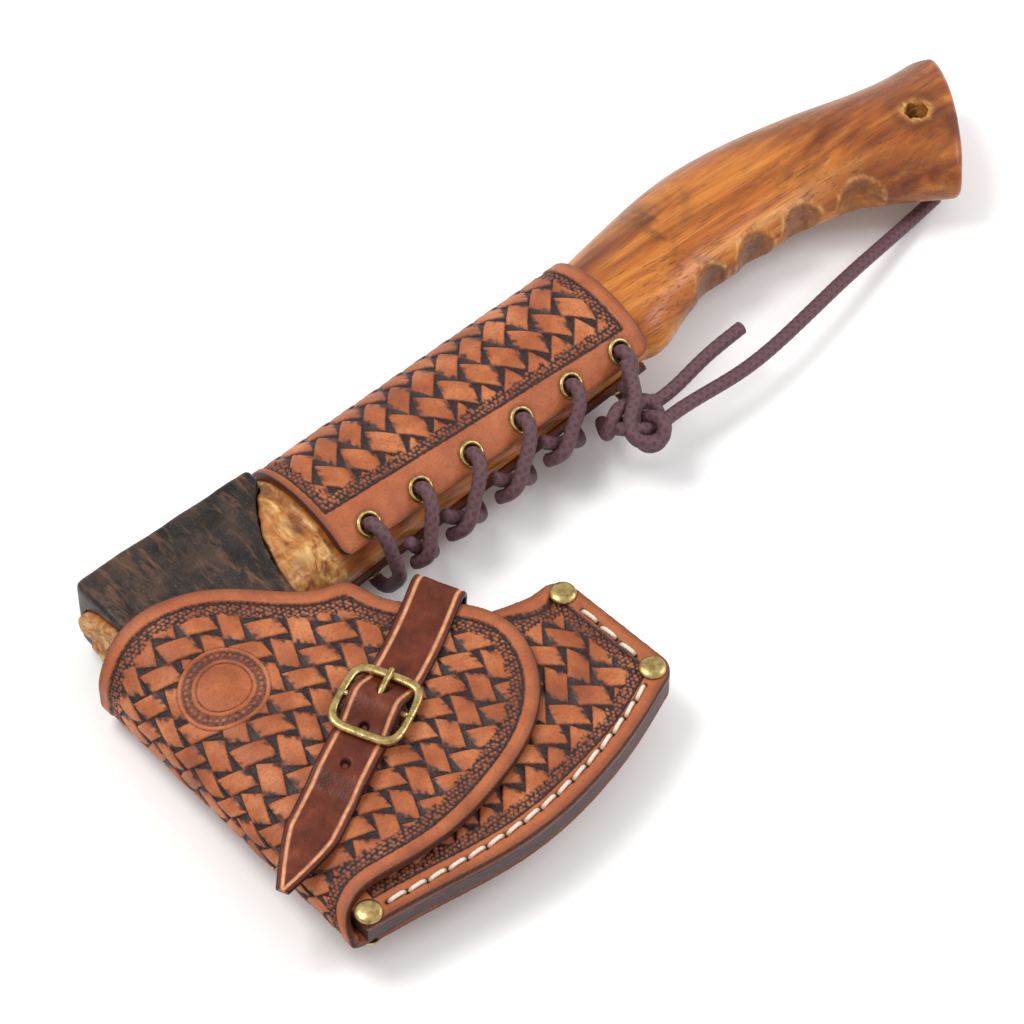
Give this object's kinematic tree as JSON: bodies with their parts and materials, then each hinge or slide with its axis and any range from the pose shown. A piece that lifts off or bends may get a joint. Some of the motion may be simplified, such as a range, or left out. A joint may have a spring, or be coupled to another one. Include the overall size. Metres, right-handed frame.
{
  "type": "hatchet",
  "caption": "Hatchet with a finger-grooved wooden haft, laced leather collar and a strapped, buckled leather blade sheath.",
  "frame": {"origin": "centre of the poll's flat face, on the mid-plane of the blade", "axes": "+X along the eye and haft toward the knob, +Y straight out of the poll away from the cutting edge, +Z square to the blade out of the cheek that carries the buckle"},
  "size_m": [0.425, 0.1919, 0.0451],
  "materials": {
    "forged_steel": "forge scale, blackened, worn brown streaks",
    "haft_wood": "toasted, oiled",
    "wedge_wood": "raw end grain",
    "tooled_leather": "vegetable tanned, basket stamped, antiqued",
    "edge_leather": "dark burnished edge",
    "strap_leather": "dark bridle leather, creased",
    "thread": "waxed linen thread",
    "cord": "waxed braided cord",
    "brass": "antique brass"
  },
  "bodies": {
    "hatchet": {"head": "forged_steel", "haft": "haft_wood", "eye_wedge": "wedge_wood", "cross_wedge": "forged_steel", "collar": "tooled_leather", "collar_eyelets_front": "brass", "collar_eyelets_back": "brass", "collar_lace": "cord", "lace_knot": "cord", "lace_tail_short": "cord", "lace_tail_long": "cord"},
    "sheath": {"sheath_back": "tooled_leather", "sheath_front": "tooled_leather", "sheath_welt_upper": "edge_leather", "sheath_welt_lower": "edge_leather", "stitching_front": "thread", "stitching_back": "thread", "rivet_caps": "brass", "rivet_posts": "brass", "strap_back": "strap_leather", "strap_rivets": "brass"},
    "flap": {"sheath_flap": "tooled_leather", "buckle_chape": "strap_leather", "chape_rivets": "brass"},
    "strap": {"strap_front": "strap_leather"},
    "buckle": {"buckle_frame": "brass"},
    "tongue": {"buckle_tongue": "brass"}
  },
  "joints": [
    {"name": "sheath_slide", "type": "slide", "parent": "hatchet", "child": "sheath", "axis": [0, -1, 0], "range_m": [0, 0.16]},
    {"name": "flap_fold", "type": "hinge", "parent": "sheath", "child": "flap", "pos_m": [-0.0525, -0.095, 0], "axis": [0, -1, 0], "range_deg": [0, 140]},
    {"name": "strap_fold", "type": "hinge", "parent": "sheath", "child": "strap", "pos_m": [0.05776, -0.0814, 0.00052], "axis": [-0.455, 0.888, 0.067], "range_deg": [0, 112], "deforming": ["strap_front"]},
    {"name": "buckle_swing", "type": "hinge", "parent": "flap", "child": "buckle", "pos_m": [0.00683, -0.10881, 0.01781], "axis": [0.455, -0.888, -0.067], "range_deg": [-8, 8]},
    {"name": "tongue_swing", "type": "hinge", "parent": "buckle", "child": "tongue", "pos_m": [0.00683, -0.10881, 0.01781], "axis": [0.455, -0.888, -0.067], "range_deg": [0, 90]}
  ],
  "couplings": [
    {"joint": "strap_fold", "follows": "flap_fold", "ratio": 0.8}
  ]
}
